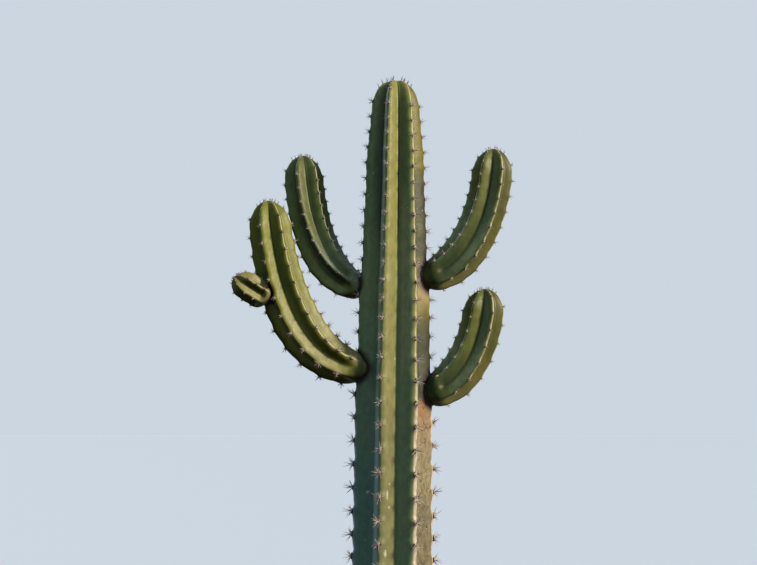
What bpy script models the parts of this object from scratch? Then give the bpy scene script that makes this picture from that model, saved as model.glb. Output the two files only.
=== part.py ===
"""A branched columnar cactus, 2 m tall, rooted in the ground.

A six-ribbed trunk carries two arms on each side, and the lower left arm carries a young offshoot.
Units are metres with +Z up. The origin is the middle of the flat cut at ground level, +X points
to the right-hand arms, and -Y is the front. An azimuth of 0 degrees is the front and 90 is +X.
"""

import math
from collections import namedtuple

import bmesh
import bpy
from mathutils import Vector
from mathutils.geometry import interpolate_bezier

GAP = 0.0003  # clearance between pieces that touch

# Ribs. A furrow is stated as its radius over the crest's radius.
RIBS = 6
FLANK_STATIONS = (0.45, 0.12)  # places on a flank, as shares of the way from crest to furrow
FLANK_POWER = 0.7  # below 1 it rounds the crest and bulges the flanks
FURROW = 0.60
AREOLE_LIFT = 0.0022  # how far a crest swells under each spine cushion
LIFT_FADE = 4  # how fast that swelling fades down the flanks
SHARP_ANGLE = math.radians(50)

# Trunk
TRUNK_HEIGHT = 2.01
TRUNK_LEAN = 0.0081  # drift of the axis to +X for each metre of height
TRUNK_CRESTS = (-17, 41, 101, 162, 222, 282)  # azimuth of each rib in degrees
TRUNK_PITCH = 0.045  # from one spine cushion to the next along a rib
TRUNK_DOME = 0.095
TRUNK_DOME_POWER = 2.6  # an ellipse is 2; more is blunter
TRUNK_RADII = (  # height and crest radius
    (0.00, 0.124),
    (0.07, 0.104),
    (0.22, 0.0945),
    (0.90, 0.0905),
    (1.27, 0.0885),
    (1.38, 0.0828),
    (1.50, 0.0822),
    (1.61, 0.0742),
    (1.80, 0.0682),
    (1.95, 0.0576),
)
TRUNK_FURROWS = ((0.00, 0.88), (0.35, 0.72), (0.90, 0.64), (1.50, FURROW))

# Limbs
NECK_POWER = 0.7  # below 1 the limb swells fast out of its neck
NECK_FURROW = 0.90  # a neck is nearly round
ROOT_REACH = 0.045  # how far a limb is carried into its carrier before the seat is cut
SPLIT_SLOPE = math.radians(45)  # slope of the centre line where an elbow hands over to its arm
DOME_STEPS = 5
PATH_SAMPLES = 400

Limb = namedtuple(
    "Limb",
    "azimuth root tip leave_slope tip_lean root_pull tip_pull "
    "radius neck_radius neck_length dome crest pitch taper",
)
# root and tip are (distance out, height). The distance is taken from the carrier's centre line,
# where that passes the root's height. The pulls are the handle lengths of the centre line,
# leave_slope is its angle above level at the root, and tip_lean its angle outward from upright at
# the tip. crest is the azimuth of one rib on the upright stretch.
LIMBS = {
    "upper_left": Limb(
        azimuth=math.radians(-97),
        root=(0.076, 1.528),
        tip=(0.215, 1.838),
        leave_slope=math.radians(11),
        tip_lean=math.radians(1),
        root_pull=0.098,
        tip_pull=0.133,
        radius=0.0462,
        neck_radius=0.022,
        neck_length=0.140,
        dome=0.062,
        crest=math.radians(-17),
        pitch=0.032,
        taper=0.06,
    ),
    "lower_left": Limb(
        azimuth=math.radians(-78.5),
        root=(0.076, 1.339),
        tip=(0.292, 1.718),
        leave_slope=math.radians(5),
        tip_lean=math.radians(4),
        root_pull=0.135,
        tip_pull=0.213,
        radius=0.0545,
        neck_radius=0.025,
        neck_length=0.200,
        dome=0.064,
        crest=math.radians(-25),
        pitch=0.040,
        taper=0.30,
    ),
    "upper_right": Limb(
        azimuth=math.radians(98),
        root=(0.076, 1.553),
        tip=(0.2335, 1.856),
        leave_slope=math.radians(9),
        tip_lean=math.radians(-2),
        root_pull=0.094,
        tip_pull=0.142,
        radius=0.0485,
        neck_radius=0.022,
        neck_length=0.105,
        dome=0.066,
        crest=math.radians(25.5),
        pitch=0.034,
        taper=0.04,
    ),
    "lower_right": Limb(
        azimuth=math.radians(97),
        root=(0.078, 1.288),
        tip=(0.212, 1.525),
        leave_slope=math.radians(4),
        tip_lean=math.radians(-3),
        root_pull=0.084,
        tip_pull=0.100,
        radius=0.0480,
        neck_radius=0.023,
        neck_length=0.100,
        dome=0.062,
        crest=math.radians(24),
        pitch=0.038,
        taper=0.03,
    ),
}
OFFSHOOT = Limb(
    azimuth=math.radians(-64),
    root=(0.032, 1.485),
    tip=(0.1265, 1.544),
    leave_slope=math.radians(34),
    tip_lean=math.radians(44),
    root_pull=0.034,
    tip_pull=0.034,
    radius=0.0315,
    neck_radius=0.019,
    neck_length=0.045,
    dome=0.034,
    crest=math.radians(-20),
    pitch=0.022,
    taper=0.0,
)
OFFSHOOT_CARRIER = LIMBS["lower_left"]

# Skin colours and roughness
MATURE_SKIN = ("mature cactus skin", (0.17, 0.21, 0.10), 0.55)
YOUNG_SKIN = ("young cactus skin", (0.22, 0.29, 0.09), 0.48)
NEW_SKIN = ("new cactus skin", (0.30, 0.34, 0.12), 0.45)

# One ring of a ribbed solid: its middle, the directions of angle 0 and of 90 degrees, the crest
# radius, the furrow ratio and each rib's swelling.
Ring = namedtuple("Ring", "middle ahead aside radius furrow lifts")


def profile(pairs, at):
    """Value at a place along (place, value) pairs, easing from each pair to the next."""
    if at <= pairs[0][0]:
        return pairs[0][1]
    for (start, low), (end, high) in zip(pairs, pairs[1:]):
        if at <= end:
            share = (at - start) / (end - start)
            return low + (high - low) * (0.5 - 0.5 * math.cos(math.pi * share))
    return pairs[-1][1]


def spread(start, end, step):
    """Evenly spaced places from start to end, about a step apart, both ends included."""
    count = max(1, round((end - start) / step))
    return [start + (end - start) * k / count for k in range(count + 1)]


def dome_places(length, dome):
    """Places along the domed tip, closer together towards its end, which is left out."""
    return [
        length - dome * (1 - math.sin(math.pi / 2 * k / DOME_STEPS))
        for k in range(1, DOME_STEPS)
    ]


def dome_share(from_tip, dome, power=2.0):
    """Share of the full radius at this distance from the tip of a dome."""
    short = max(0.0, 1 - from_tip / dome)
    return max(0.0, 1 - short**power) ** (1 / power)


def lifts_at(row):
    """Swelling of each rib at a row of cushions, which alternate from rib to rib."""
    return [AREOLE_LIFT if (rib + row) % 2 == 0 else 0.0 for rib in range(RIBS)]


def even_crests(first):
    """Angles of evenly spaced ribs."""
    return [first + math.tau * rib / RIBS for rib in range(RIBS)]


def half_gaps(crests):
    """Half the angle from each crest back to the one before it."""
    before = [crests[-1] - math.tau] + list(crests[:-1])
    return [(crest - last) / 2 for crest, last in zip(crests, before)]


def ring_points(ring, crests):
    """The ring's outline, rib by rib from a furrow over the crest to the next furrow."""
    halves = half_gaps(crests)
    points = []
    for rib, (crest, lift) in enumerate(zip(crests, ring.lifts)):
        outward = math.cos(crest) * ring.ahead + math.sin(crest) * ring.aside
        across = math.cos(crest) * ring.aside - math.sin(crest) * ring.ahead
        left, right = halves[rib], halves[(rib + 1) % RIBS]
        stations = [(-left, 1.0)]
        stations += [(-left, place) for place in FLANK_STATIONS]
        stations += [(right, 0.0)]
        stations += [(right, place) for place in reversed(FLANK_STATIONS)]
        for half, place in stations:
            depth = 1 - ring.furrow * math.cos(half)
            width = ring.furrow * math.sin(half)
            out = ring.radius * (1 - depth * place) + lift * (1 - place) ** LIFT_FADE
            along = ring.radius * width * place**FLANK_POWER
            points.append(ring.middle + out * outward + along * across)
    return points


def new_mesh(name, rings, crests, tip=None):
    """Closed mesh through the rings, from a flat end to a tip point or to a second flat end."""
    mesh = bpy.data.meshes.new(name)
    bm = bmesh.new()
    loops = [[bm.verts.new(point) for point in ring_points(ring, crests)] for ring in rings]
    count = len(loops[0])
    for low, high in zip(loops, loops[1:]):
        for i in range(count):
            j = (i + 1) % count
            bm.faces.new((low[i], low[j], high[j], high[i]))
    foot = bm.verts.new(rings[0].middle)
    head = bm.verts.new(rings[-1].middle if tip is None else tip)
    for i in range(count):
        j = (i + 1) % count
        bm.faces.new((loops[0][j], loops[0][i], foot))
        bm.faces.new((loops[-1][i], loops[-1][j], head))
    # Fixed triangles, so that a grown copy follows the same surface everywhere.
    bmesh.ops.triangulate(bm, faces=bm.faces)
    bm.to_mesh(mesh)
    bm.free()
    mesh.shade_smooth()
    mesh.set_sharp_from_angle(angle=SHARP_ANGLE)
    return mesh


def add_object(name, mesh, material):
    obj = bpy.data.objects.new(name, mesh)
    mesh.materials.append(material)
    bpy.context.scene.collection.objects.link(obj)
    return obj


def plant_material(name, colour, roughness):
    material = bpy.data.materials.new(name)
    material.use_nodes = True
    material.diffuse_color = (*colour, 1.0)
    shader = material.node_tree.nodes["Principled BSDF"]
    shader.inputs["Base Color"].default_value = (*colour, 1.0)
    shader.inputs["Roughness"].default_value = roughness
    shader.inputs["Metallic"].default_value = 0.0
    return material


def trunk_rings():
    """Level rings up the leaning axis, so that the cut at the ground is flat and level."""
    shoulder = TRUNK_HEIGHT - TRUNK_DOME
    rings = []
    for row, height in enumerate(spread(0.0, shoulder, TRUNK_PITCH / 2)):
        lifts = lifts_at(row) if row else [0.0] * RIBS
        rings.append(trunk_ring(height, lifts))
    for height in dome_places(TRUNK_HEIGHT, TRUNK_DOME):
        rings.append(trunk_ring(height, [0.0] * RIBS))
    return rings


def trunk_ring(height, lifts):
    dome = dome_share(TRUNK_HEIGHT - height, TRUNK_DOME, TRUNK_DOME_POWER)
    radius = profile(TRUNK_RADII, height) * dome
    furrow = profile(TRUNK_FURROWS, height)
    middle = trunk_plan(height) + Vector((0, 0, height))
    return Ring(middle, Vector((0, -1, 0)), Vector((1, 0, 0)), radius, furrow, lifts)


def limb_outward(limb):
    return Vector((math.sin(limb.azimuth), -math.cos(limb.azimuth), 0))


def trunk_plan(height):
    """Where the trunk's centre line is at a height, dropped to the ground."""
    return Vector((TRUNK_LEAN * height, 0, 0))


def limb_plan(path, height):
    """Where a limb's centre line is at a height, dropped to the ground."""
    point = min((sample[1] for sample in path), key=lambda place: abs(place.z - height))
    return Vector((point.x, point.y, 0))


def limb_path(limb, axis):
    """Centre line from root to tip, as (length so far, point, slope) for each sample.

    axis is the plan of the carrier's centre line at the root's height.
    """
    outward = limb_outward(limb)
    up = Vector((0, 0, 1))
    root = axis + limb.root[0] * outward + limb.root[1] * up
    tip = axis + limb.tip[0] * outward + limb.tip[1] * up
    leave = math.cos(limb.leave_slope) * outward + math.sin(limb.leave_slope) * up
    arrive = math.sin(limb.tip_lean) * outward + math.cos(limb.tip_lean) * up
    handles = (root + limb.root_pull * leave, tip - limb.tip_pull * arrive)
    points = interpolate_bezier(root, *handles, tip, PATH_SAMPLES)
    samples = [(0.0, points[0], limb.leave_slope)]
    length = 0.0
    for before, after in zip(points, points[1:]):
        step = after - before
        length += step.length
        samples.append((length, after, math.atan2(step.dot(up), step.dot(outward))))
    return samples


def limb_ring(limb, path, at, lifts):
    """Ring square to the centre line at a length along it, or on its straight run-in if below 0."""
    length, point, slope = min(path, key=lambda sample: abs(sample[0] - max(at, 0.0)))
    outward = limb_outward(limb)
    up = Vector((0, 0, 1))
    forward = math.cos(slope) * outward + math.sin(slope) * up
    ahead = math.sin(slope) * outward - math.cos(slope) * up
    aside = Vector((math.cos(limb.azimuth), math.sin(limb.azimuth), 0))
    total = path[-1][0]
    grown = min(max(at, 0.0) / limb.neck_length, 1.0)
    swell = math.sin(math.pi / 2 * grown) ** NECK_POWER
    full = limb.radius * (1 - limb.taper * max(0.0, at - limb.neck_length) / total)
    body = limb.neck_radius + (full - limb.neck_radius) * swell
    radius = body * dome_share(total - at, limb.dome)
    furrow = NECK_FURROW + (FURROW - NECK_FURROW) * swell
    middle = point + (at - length) * forward
    return Ring(middle, ahead, aside, radius, furrow, [lift * swell for lift in lifts])


def limb_rings(limb, path, places):
    return [limb_ring(limb, path, at, lifts_at(row)) for row, at in places]


def limb_places(limb, path):
    """Rows along a limb, as (row number, length), from inside its carrier to the dome."""
    total = path[-1][0]
    inside = [(0, -ROOT_REACH)]
    rows = list(enumerate(spread(0.0, total - limb.dome, limb.pitch / 2)))
    return inside + rows


def dome_rings(limb, path):
    total = path[-1][0]
    return [limb_ring(limb, path, at, [0.0] * RIBS) for at in dome_places(total, limb.dome)]


def seat_on(obj, cutter):
    """Cuts the carrier's grown copy from the limb's root, which leaves it seated a gap clear."""
    seat = obj.modifiers.new("seat", "BOOLEAN")
    seat.operation = "DIFFERENCE"
    seat.solver = "EXACT"
    seat.object = cutter


def grown_cutter(carrier):
    """Helper: the carrier's shape pushed out by the gap all over."""
    mesh = carrier.data.copy()
    bm = bmesh.new()
    bm.from_mesh(mesh)
    bm.normal_update()
    pushed = [(vert, vert.co + vert.normal * GAP) for vert in bm.verts]
    for vert, place in pushed:
        vert.co = place
    bm.to_mesh(mesh)
    bm.free()
    cutter = bpy.data.objects.new(carrier.name + "_cutter", mesh)
    cutter.hide_render = True
    cutter.display_type = "WIRE"
    bpy.context.scene.collection.objects.link(cutter)
    return cutter


def build_trunk(material):
    tip = trunk_plan(TRUNK_HEIGHT) + Vector((0, 0, TRUNK_HEIGHT))
    crests = [math.radians(azimuth) for azimuth in TRUNK_CRESTS]
    return add_object("trunk", new_mesh("trunk", trunk_rings(), crests, tip), material)


def build_arm(name, limb, trunk_cutter, material):
    """An arm in two pieces, which meet face to face at its bend. Returns the upper piece."""
    path = limb_path(limb, trunk_plan(limb.root[1]))
    crests = even_crests(limb.crest - limb.azimuth)
    places = limb_places(limb, path)
    slopes = [min(path, key=lambda sample: abs(sample[0] - at))[2] for _, at in places]
    split = next(k for k, slope in enumerate(slopes) if slope >= SPLIT_SLOPE)
    rings = limb_rings(limb, path, places) + dome_rings(limb, path)
    face = rings[split]
    half_gap = face.ahead.cross(face.aside) * (GAP / 2)
    lower = rings[:split] + [face._replace(middle=face.middle - half_gap)]
    upper = [face._replace(middle=face.middle + half_gap)] + rings[split + 1 :]
    elbow = add_object(name + "_elbow", new_mesh(name + "_elbow", lower, crests), material)
    seat_on(elbow, trunk_cutter)
    tip = path[-1][1]
    return add_object(name + "_arm", new_mesh(name + "_arm", upper, crests, tip), material)


def build_offshoot(carrier_cutter, material):
    carrier_path = limb_path(OFFSHOOT_CARRIER, trunk_plan(OFFSHOOT_CARRIER.root[1]))
    path = limb_path(OFFSHOOT, limb_plan(carrier_path, OFFSHOOT.root[1]))
    crests = even_crests(OFFSHOOT.crest - OFFSHOOT.azimuth)
    rings = limb_rings(OFFSHOOT, path, limb_places(OFFSHOOT, path))
    rings += dome_rings(OFFSHOOT, path)
    mesh = new_mesh("lower_left_offshoot", rings, crests, path[-1][1])
    offshoot = add_object("lower_left_offshoot", mesh, material)
    seat_on(offshoot, carrier_cutter)


def main():
    for obj in list(bpy.data.objects):
        bpy.data.objects.remove(obj, do_unlink=True)
    trunk_cutter = grown_cutter(build_trunk(plant_material(*MATURE_SKIN)))
    skin = plant_material(*YOUNG_SKIN)
    arms = {name: build_arm(name, limb, trunk_cutter, skin) for name, limb in LIMBS.items()}
    build_offshoot(grown_cutter(arms["lower_left"]), plant_material(*NEW_SKIN))


main()
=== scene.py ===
"""Looks of the columnar cactus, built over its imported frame.

Each stem is described once, as rings of six ribs along a centre line. The skins, the spine
cushions, the spines and the corky collars all read their places from that description.
Units are metres, +Z up. An azimuth of 0 degrees is the front (-Y) and 90 is +X.
"""

import math
from collections import namedtuple

import bpy
import numpy as np
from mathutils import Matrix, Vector, noise
from mathutils.bvhtree import BVHTree
from mathutils.geometry import interpolate_bezier


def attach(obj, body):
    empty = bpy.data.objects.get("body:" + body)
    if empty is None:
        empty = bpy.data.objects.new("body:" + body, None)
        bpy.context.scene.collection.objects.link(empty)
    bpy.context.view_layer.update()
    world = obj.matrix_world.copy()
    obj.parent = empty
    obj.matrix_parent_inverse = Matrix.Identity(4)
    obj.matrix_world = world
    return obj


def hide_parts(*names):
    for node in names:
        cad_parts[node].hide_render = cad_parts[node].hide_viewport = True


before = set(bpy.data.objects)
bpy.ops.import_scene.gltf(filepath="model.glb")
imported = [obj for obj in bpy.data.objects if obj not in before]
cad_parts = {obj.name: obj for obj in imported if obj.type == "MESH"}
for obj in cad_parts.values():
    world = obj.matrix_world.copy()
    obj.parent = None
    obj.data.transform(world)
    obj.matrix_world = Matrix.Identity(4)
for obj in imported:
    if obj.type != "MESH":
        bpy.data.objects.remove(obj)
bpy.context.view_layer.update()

BODY = "root"
SEED = 7

# Ribs. A furrow is stated as its radius over the crest's radius.
RIBS = 6
RIB_POWER = 1.43  # how a flank falls from its crest
TRUNK_ROUNDING = 0.50  # width of the rounded crest, as a share of half a rib
LIMB_ROUNDING = 0.32
FURROW = 0.60
NOTCH = 0.45  # dent above each cushion, as a share of its swelling
LIFT_FADE = 4  # higher keeps the swelling closer to the crest
BUMP_BELOW = 0.30  # lengths of the swelling below and above a cushion, over the pitch
BUMP_ABOVE = 0.17
DENT_PLACE = 0.33  # the dent's place and length, over the pitch
DENT_LENGTH = 0.13
WANDER = math.radians(0.6)  # how far the ribs stray from their angles
SEAT_SPAN = 0.004  # length over which a cushion's seat is levelled
COLUMNS = 16  # mesh columns across one rib
COLUMN_CROWDING = 0.10
DOME_RINGS = 25

# Trunk: the same shape as the frame's trunk
TRUNK_HEIGHT = 2.01
TRUNK_LEAN = 0.0081
TRUNK_CRESTS = (-16, 39.5, 101, 162, 222, 282)  # degrees, at the tip
TRUNK_TWIST = (4.5, 7.5, 4.5, 4.5, 4.5, 4.5)  # degrees for each metre of height
TRUNK_DOME = 0.095
TRUNK_DOME_POWER = 2.6  # an ellipse is 2; more is blunter
TRUNK_RADII = (
    (0.00, 0.124),
    (0.07, 0.104),
    (0.22, 0.0945),
    (0.90, 0.0905),
    (1.27, 0.0885),
    (1.38, 0.0828),
    (1.50, 0.0822),
    (1.61, 0.0742),
    (1.80, 0.0682),
    (1.95, 0.0576),
)
TRUNK_FURROWS = ((0.00, 0.88), (0.35, 0.72), (0.90, 0.64), (1.50, FURROW))
TRUNK_RING_STEP = 0.0032
TRUNK_PITCHES = (  # height, and the way to the next cushion below
    (0.30, 0.050),
    (0.95, 0.049),
    (1.10, 0.053),
    (1.25, 0.0525),
    (1.38, 0.0475),
    (1.50, 0.0418),
    (1.70, 0.0375),
    (1.95, 0.036),
)
TRUNK_FIRST_AREOLES = (1.983, 1.944, 1.952, 1.968, 1.949, 1.960)  # topmost cushion on each rib
TRUNK_LIFTS = ((0.30, 0.0020), (0.95, 0.0032), (1.25, 0.0022), (1.50, 0.0011))
LOWEST_AREOLE = 0.12

# Limbs: the same shapes as the frame's elbows, arms and offshoot, apart from turn, which is how
# far the rib that faces the viewer turns round the limb by its root. A column for each limb.
LIMB_NAMES = ("upper_left", "lower_left", "upper_right", "lower_right", "offshoot")
LIMB_TABLE = {
    "azimuth": (-97, -78.5, 98, 97, -64),
    "root": ((0.076, 1.528), (0.076, 1.339), (0.076, 1.553), (0.078, 1.288), (0.032, 1.482)),
    "tip": ((0.215, 1.838), (0.292, 1.718), (0.2335, 1.856), (0.212, 1.525), (0.129, 1.541)),
    "leave_slope": (11, 5, 9, 4, 34),
    "tip_lean": (1, 4, -2, -3, 44),
    "root_pull": (0.104, 0.135, 0.094, 0.084, 0.034),
    "tip_pull": (0.133, 0.213, 0.142, 0.100, 0.034),
    "radius": (0.0470, 0.0545, 0.0485, 0.0480, 0.0315),
    "neck_radius": (0.026, 0.028, 0.029, 0.030, 0.019),
    "neck_length": (0.140, 0.200, 0.105, 0.100, 0.045),
    "dome": (0.062, 0.064, 0.066, 0.062, 0.034),
    "crest": (-17, -25, 25.5, 24, -20),
    "pitch": (0.032, 0.040, 0.034, 0.038, 0.022),
    "taper": (0.06, 0.30, 0.04, 0.03, 0.0),
    "turn": (27, 0, 22, 20, 0),
}
IN_DEGREES = ("azimuth", "leave_slope", "tip_lean", "crest", "turn")
Limb = namedtuple("Limb", LIMB_TABLE)
LIMBS = {
    name: Limb(
        *(
            math.radians(row[column]) if key in IN_DEGREES else row[column]
            for key, row in LIMB_TABLE.items()
        )
    )
    for column, name in enumerate(LIMB_NAMES)
}
NECK_POWER = 0.55
NECK_FURROW = 0.97
NECK_CLOSED = (0.0, 0.10)  # where the furrows open, over the length of the limb
END_OUT = 0.21  # a limb's end is round up to this far out of its carrier, over its radius
END_LENGTH = 0.72  # length of the round end, over the limb's radius
END_CUT = 0.985  # how much of the round end is kept; past it the end is flat
LIMB_RING_STEP = 0.0028
OFFSHOOT_RING_STEP = 0.0014
PATH_SAMPLES = 400
OUT_SEARCH = 0.08  # length in which a limb comes out of its carrier
LIMB_LIFT = 0.0013  # swelling under a cushion, on a limb of this radius:
LIFT_RADIUS = 0.048
FIRST_AREOLE = 0.30  # way from the tip to the topmost cushion, over the length of the dome
LAST_AREOLE = 0.014  # way from the carrier to the lowest cushion, at least

# The side facing the sun is painted lighter (lit and shaded greens), and is yellower with more wear.
SUN_AZIMUTH = math.radians(72)
SUN_HEIGHT = math.radians(23)

# Dark cork round the joins, also painted contact shade
ROOT_REACH = 0.075  # half size of the space searched round a limb's root
NECK_EDGE = (0.0022, 0.0062)  # height over the carrier: wholly dark, and clear
HALO_EDGE = (0.0040, 0.0150)  # height over a limb: wholly dark, and clear
RIGHT_HALO = 1.7  # how many times wider that is beside the right-hand arms

# How squarely a crest faces the sun's side: bare of wear and painted highlight, and full of both
WORN_AND_LIT_FACING = (0.68, 0.84)

# Markings of a limb, as shares of its length: where it has none, and where it is full
OLD_LIMB = (0.60, 0.20)
HAZY_LIMB = (0.80, 0.35)
SHUT_IN_LIMB = (0.85, 0.55)
SHUT_FURROW = 0.60 + 0.40 * FURROW  # furrow at which a right-hand arm's deep shade starts

# Sides of the trunk, as azimuths in degrees: where a marking has none, and where it is full
RIGHT_AZIMUTH = math.radians(92)
RIGHT_EDGE = (55, 46)  # away from the middle of the right-hand side
LEFT_FRONT = (-24, -34)
LEFT_BACK = (-114, -84)
RECESS_FRONT = (-40, -46)
RECESS_BACK = math.radians(-82)
SUNWARD = (12, 24)
RUST_AZIMUTH = math.radians(64)
RUST_EDGE = (48, 12)

# Heights of the trunk's markings and of its painted shade
OLD_SKIN = (1.75, 1.05)
YOUNG_SKIN = (1.45, 1.80)
DIM_SHADE = (1.34, 1.02)
LOW_CORK = (1.15, 0.95)
LOW_RUST = (1.13, 1.24, 1.29)  # and where it ends
HIGH_RUST = (1.45, 1.50, 1.55)
HIGH_RUST_SHARE = 0.2
# bands of painted shadow, cast by the arms on the trunk's right-hand side
ARM_SHADOW_BANDS = ((1.31, 1.42), (1.57, 1.765))
HAZE_BAND = (1.38, 1.64)
TAN_BAND = (1.50, 1.56)
BAND_FADE = 0.05
HAZE_FADE = 0.14
SCAR_RADIUS = 0.088  # the trunk's radius by its scars
SCARS = (  # azimuth in degrees, height and half sizes
    (-6, 1.081, 0.0045, 0.0040),
    (-10, 1.056, 0.0026, 0.0160),
    (-8, 1.030, 0.0022, 0.0070),
    (3, 1.150, 0.0025, 0.0045),
    (34.5, 1.020, 0.0030, 0.0050),
    (-62, 1.062, 0.0026, 0.0050),
    (-56, 1.004, 0.0020, 0.0022),
    (-12, 0.930, 0.0040, 0.0110),
    (5, 0.860, 0.0045, 0.0080),
)

# Where the trunk is corky
CORK_AZIMUTH = math.radians(88)
CORK_SPREAD = math.radians(62)
CORK_TOP = 1.285  # beside the lower right arm
FOOT_CORK = 0.55  # below this the cork goes all round

# Relief of the skins: how far each kind of lump stands out
CORK_GRIT = 0.0007
CORK_LUMPS = 0.0009
TRUNK_LUMPS = 0.0005
LIMB_LUMPS = 0.0004

# Collars
COLLAR_THICKNESS = 0.070  # radius of the ring, as a share of the limb's radius
COLLAR_SIDES = 8
COLLAR_EVENING = 6  # rounds of evening out its line


def unit(azimuth, height=0.0):
    """Unit vector towards an azimuth and a height above level."""
    level = math.cos(height)
    return np.array([math.sin(azimuth) * level, -math.cos(azimuth) * level, math.sin(height)])


def normed(vector):
    return vector / np.linalg.norm(vector)


# Shape of a stem


def eased(pairs, at):
    """Values at places along (place, value) pairs, easing from each pair to the next."""
    places, values = np.array(pairs, float).T
    at = np.clip(at, places[0], places[-1])
    pair = np.clip(np.searchsorted(places, at, side="right") - 1, 0, len(places) - 2)
    share = (at - places[pair]) / (places[pair + 1] - places[pair])
    return values[pair] + (values[pair + 1] - values[pair]) * (0.5 - 0.5 * np.cos(np.pi * share))


def smooth(low, high, value):
    """0 below low, 1 above high, with a soft step between. low may be the larger one."""
    share = np.clip((value - low) / (high - low), 0, 1)
    return share * share * (3 - 2 * share)


class Stem:
    """A ribbed stem. Places along it are lengths from its root; the trunk's are heights."""

    twist = (0.0,) * RIBS
    rounding = LIMB_ROUNDING
    dome_power = 2.0
    start = 0.0

    def __init__(self, name, length, dome, crests):
        self.name = name
        self.length = length
        self.dome = dome
        self.crests = np.array(crests)

    def dome_share(self, at):
        short = np.clip(1 - (self.length - at) / self.dome, 0, 1)
        return (1 - short**self.dome_power) ** (1 / self.dome_power)

    def turn_at(self, at):
        """How far each rib has turned round the stem at each place."""
        return np.radians(self.twist) * (at - self.length)

    def crests_at(self, at):
        """Angle of each rib at each place, with a slight wander."""
        at = np.asarray(at, float)[..., None]
        phase = np.arange(RIBS) * 2.1 + len(self.name)
        wander = np.sin(at * 9.0 + phase) + 0.6 * np.sin(at * 21.0 + 1.7 * phase)
        return self.crests + self.turn_at(at) + WANDER * wander

    def lift(self, at, rib):
        """Swelling of one rib's crest along it: a bump under each cushion and a dent above."""
        places = self.areoles[rib]
        if len(places) < 2:
            return np.zeros_like(at)
        away = at[:, None] - places[None, :]
        nearest = np.argmin(np.abs(away), axis=1)
        gap = away[np.arange(len(at)), nearest]
        pitch = abs(places[1:] - places[:-1]).mean()
        below = np.exp(-((gap / (BUMP_BELOW * pitch)) ** 2))
        above = np.exp(-((gap / (BUMP_ABOVE * pitch)) ** 2))
        bump = np.where(gap < 0, below, above)
        dent = np.exp(-(((gap - DENT_PLACE * pitch) / (DENT_LENGTH * pitch)) ** 2))
        return self.lift_size(at) * (bump - NOTCH * dent) * self.dome_share(at)

    def surface(self, at, rib, across):
        """Points at places along the stem (n) and across one rib (m), as an n by m by 3 array.

        across runs from -1 in the furrow before the rib, over 0 on its crest, to 1 in the next.
        """
        at = np.atleast_1d(np.asarray(at, float))
        across = np.atleast_1d(np.asarray(across, float))
        middle, ahead, aside, radius, furrow = self.frame(at)
        crests = self.crests_at(at)
        before = np.roll(crests, 1, axis=1)
        before[:, 0] -= math.tau
        halves = (crests - before) / 2
        left, right = halves[:, rib], halves[:, (rib + 1) % RIBS]
        half = np.where(across[None, :] < 0, left[:, None], right[:, None])
        fall = flank_fall(across, self.rounding)[None, :]
        depth = 1 - furrow[:, None] * np.cos(half)
        lift = self.lift(at, rib)[:, None] * (1 - fall) ** LIFT_FADE
        out = radius[:, None] * (1 - depth * fall) + lift
        along = radius[:, None] * furrow[:, None] * np.sin(half) * across[None, :]
        crest = crests[:, rib][:, None, None]
        outward = np.cos(crest) * ahead[:, None] + np.sin(crest) * aside[:, None]
        sideways = np.cos(crest) * aside[:, None] - np.sin(crest) * ahead[:, None]
        return middle[:, None] + out[..., None] * outward + along[..., None] * sideways

    def seat(self, at, rib):
        """Where a cushion sits: its place, the way out of the skin and the way up the rib."""
        places = [at - SEAT_SPAN, at, at + SEAT_SPAN]
        low, place, high = self.surface(places, rib, [0.0])[:, 0]
        side = self.surface([at], rib, [-0.1, 0.1])[0]
        up = normed(high - low)
        return place, normed(np.cross(side[1] - side[0], up)), up


def flank_fall(across, rounding):
    """How far a flank has fallen from its crest: 0 on the crest and 1 in the furrow."""
    power = RIB_POWER / 2
    low = rounding**RIB_POWER
    high = (1 + rounding**2) ** power
    return ((across**2 + rounding**2) ** power - low) / (high - low)


class Trunk(Stem):
    twist = TRUNK_TWIST
    rounding = TRUNK_ROUNDING
    dome_power = TRUNK_DOME_POWER
    ring_step = TRUNK_RING_STEP

    def __init__(self):
        super().__init__("trunk", TRUNK_HEIGHT, TRUNK_DOME, np.radians(TRUNK_CRESTS))
        self.areoles = [self.areole_places(top) for top in TRUNK_FIRST_AREOLES]

    @staticmethod
    def areole_places(top):
        """Heights of one rib's cushions, from the top down."""
        places = [top]
        while places[-1] > LOWEST_AREOLE:
            places.append(places[-1] - float(eased(TRUNK_PITCHES, places[-1])))
        return np.array(places)

    def lift_size(self, at):
        return eased(TRUNK_LIFTS, at)

    def plan_at(self, height):
        """Where the centre line is at a height, dropped to the ground."""
        return np.array([TRUNK_LEAN * height, 0.0, 0.0])

    def frame(self, at):
        ones = np.ones_like(at)
        middle = np.stack([TRUNK_LEAN * at, 0 * at, at], axis=1)
        ahead = ones[:, None] * np.array([0.0, -1.0, 0.0])
        aside = ones[:, None] * np.array([1.0, 0.0, 0.0])
        radius = eased(TRUNK_RADII, at) * self.dome_share(at)
        return middle, ahead, aside, radius, eased(TRUNK_FURROWS, at)


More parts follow.
